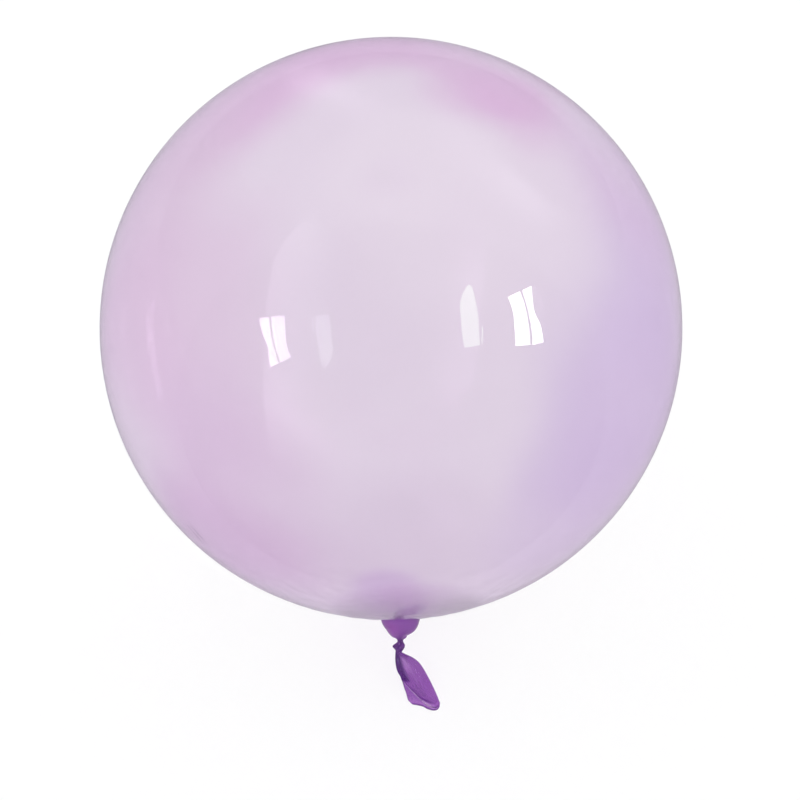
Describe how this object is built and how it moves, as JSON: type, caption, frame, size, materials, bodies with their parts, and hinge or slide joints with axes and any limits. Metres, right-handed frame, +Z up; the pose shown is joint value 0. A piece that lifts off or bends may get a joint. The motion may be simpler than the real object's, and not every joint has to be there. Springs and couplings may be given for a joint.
{
  "type": "transparent bubble balloon",
  "caption": "Clear lilac ball-shaped balloon of stretched film, tied at a short gathered neck with a flat folded tail, lying on a small flat.",
  "frame": {"origin": "centre of the flat on which the ball rests, at floor level under the middle of the ball", "axes": "+Z up; the tied neck points down and towards -Y, beside the ball's middle by 9 mm towards +X"},
  "size_m": [0.56, 0.56, 0.5578],
  "materials": {
    "film": "clear glossy lilac film, pale where it is stretched thin over the ball and deep violet where it is gathered at the neck"
  },
  "bodies": {
    "root": {"balloon": "film"}
  },
  "joints": []
}
